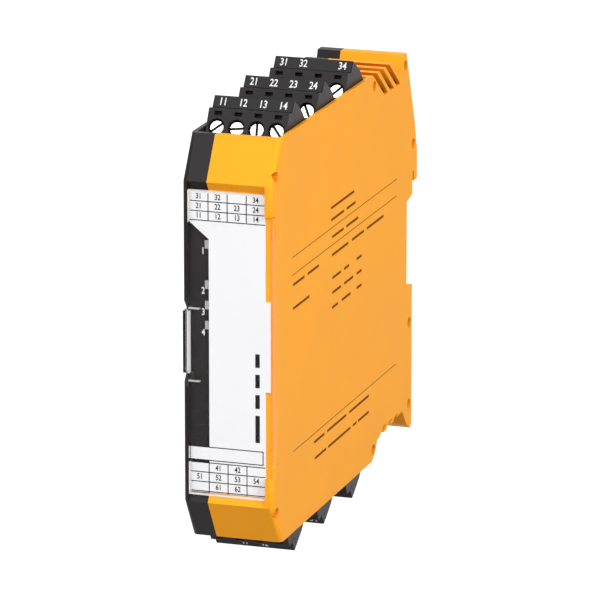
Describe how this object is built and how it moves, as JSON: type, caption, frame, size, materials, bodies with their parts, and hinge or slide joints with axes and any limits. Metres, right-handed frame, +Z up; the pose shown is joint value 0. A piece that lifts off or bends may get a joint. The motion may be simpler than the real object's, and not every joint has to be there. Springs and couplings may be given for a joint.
{
  "type": "safety relay",
  "caption": "Slim rail-mounted safety relay with stepped plug-in screw terminals at top and bottom, a clear label cover and a sprung rail foot.",
  "frame": {"origin": "middle of the 35 mm mounting rail, on the plane where the rail's face bears on the housing's rear", "axes": "+Y from the front face towards the rail, along the longest side; +Z up; +X to the right seen from the front, across the narrow width"},
  "size_m": [0.0226, 0.1145, 0.1114],
  "materials": {
    "orange_case": "fine matt moulded",
    "black_case": "fine matt moulded",
    "terminal_plastic": "satin moulded",
    "marker_plastic": "smooth, with plain white numbers",
    "screw_steel": "zinc plated",
    "clamp_brass": "nickelled",
    "pin_metal": "tinned",
    "label_paper": "printed card",
    "clear_plastic": "clear moulded",
    "guide_plastic": "frosted",
    "foot_plastic": "satin moulded",
    "spring_steel": "plain",
    "board_laminate": "solder mask",
    "component_plastic": "satin",
    "relay_plastic": "satin",
    "capacitor_sleeve": "sleeved",
    "lamp_plastic": "tinted"
  },
  "bodies": {
    "housing": {"right_shell": "orange_case", "left_shell": "black_case", "label_card": "label_paper", "light_guide_power": "guide_plastic", "light_guide_inputs": "guide_plastic", "light_guide_channel_one": "guide_plastic", "light_guide_channel_two": "guide_plastic", "latch_spring": "spring_steel", "main_circuit_board": "board_laminate", "upper_relay": "relay_plastic", "lower_relay": "relay_plastic", "transformer": "component_plastic", "capacitors": "capacitor_sleeve", "control_chips": "component_plastic", "indicator_lamps": "lamp_plastic", "upper_front_header": "terminal_plastic", "upper_front_pins": "pin_metal", "upper_middle_header": "terminal_plastic", "upper_middle_pins": "pin_metal", "upper_rear_header": "terminal_plastic", "upper_rear_pins": "pin_metal", "lower_front_header": "terminal_plastic", "lower_front_pins": "pin_metal", "lower_middle_header": "terminal_plastic", "lower_middle_pins": "pin_metal", "lower_rear_header": "terminal_plastic", "lower_rear_pins": "pin_metal"},
    "cover": {"clear_cover": "clear_plastic"},
    "foot_latch": {"rail_foot_latch": "foot_plastic"},
    "upper_front_plug": {"upper_front_plug_housing": "terminal_plastic", "upper_front_plug_marker_strip": "marker_plastic", "upper_front_plug_screws": "screw_steel", "upper_front_plug_wire_clamps": "clamp_brass"},
    "upper_middle_plug": {"upper_middle_plug_housing": "terminal_plastic", "upper_middle_plug_marker_strip": "marker_plastic", "upper_middle_plug_screws": "screw_steel", "upper_middle_plug_wire_clamps": "clamp_brass"},
    "upper_rear_plug": {"upper_rear_plug_housing": "terminal_plastic", "upper_rear_plug_marker_strip": "marker_plastic", "upper_rear_plug_screws": "screw_steel", "upper_rear_plug_wire_clamps": "clamp_brass"},
    "lower_front_plug": {"lower_front_plug_housing": "terminal_plastic", "lower_front_plug_marker_strip": "marker_plastic", "lower_front_plug_screws": "screw_steel", "lower_front_plug_wire_clamps": "clamp_brass"},
    "lower_middle_plug": {"lower_middle_plug_housing": "terminal_plastic", "lower_middle_plug_marker_strip": "marker_plastic", "lower_middle_plug_screws": "screw_steel", "lower_middle_plug_wire_clamps": "clamp_brass"},
    "lower_rear_plug": {"lower_rear_plug_housing": "terminal_plastic", "lower_rear_plug_marker_strip": "marker_plastic", "lower_rear_plug_screws": "screw_steel", "lower_rear_plug_wire_clamps": "clamp_brass"}
  },
  "joints": [
    {"name": "cover_hinge", "type": "hinge", "parent": "housing", "child": "cover", "pos_m": [0, -0.1101, -0.037], "axis": [1, 0, 0], "range_deg": [0, 105]},
    {"name": "foot_latch_slide", "type": "slide", "parent": "housing", "child": "foot_latch", "axis": [0, 0, -1], "range_m": [0, 0.0035], "stiffness_N_per_m": 1500, "springref_m": -0.001, "deforming": ["latch_spring"]},
    {"name": "upper_front_plug_pull", "type": "slide", "parent": "housing", "child": "upper_front_plug", "axis": [0, 0, 1], "range_m": [0, 0.012]},
    {"name": "upper_middle_plug_pull", "type": "slide", "parent": "housing", "child": "upper_middle_plug", "axis": [0, 0, 1], "range_m": [0, 0.012]},
    {"name": "upper_rear_plug_pull", "type": "slide", "parent": "housing", "child": "upper_rear_plug", "axis": [0, 0, 1], "range_m": [0, 0.012]},
    {"name": "lower_front_plug_pull", "type": "slide", "parent": "housing", "child": "lower_front_plug", "axis": [0, 0, -1], "range_m": [0, 0.012]},
    {"name": "lower_middle_plug_pull", "type": "slide", "parent": "housing", "child": "lower_middle_plug", "axis": [0, 0, -1], "range_m": [0, 0.012]},
    {"name": "lower_rear_plug_pull", "type": "slide", "parent": "housing", "child": "lower_rear_plug", "axis": [0, 0, -1], "range_m": [0, 0.012]}
  ]
}
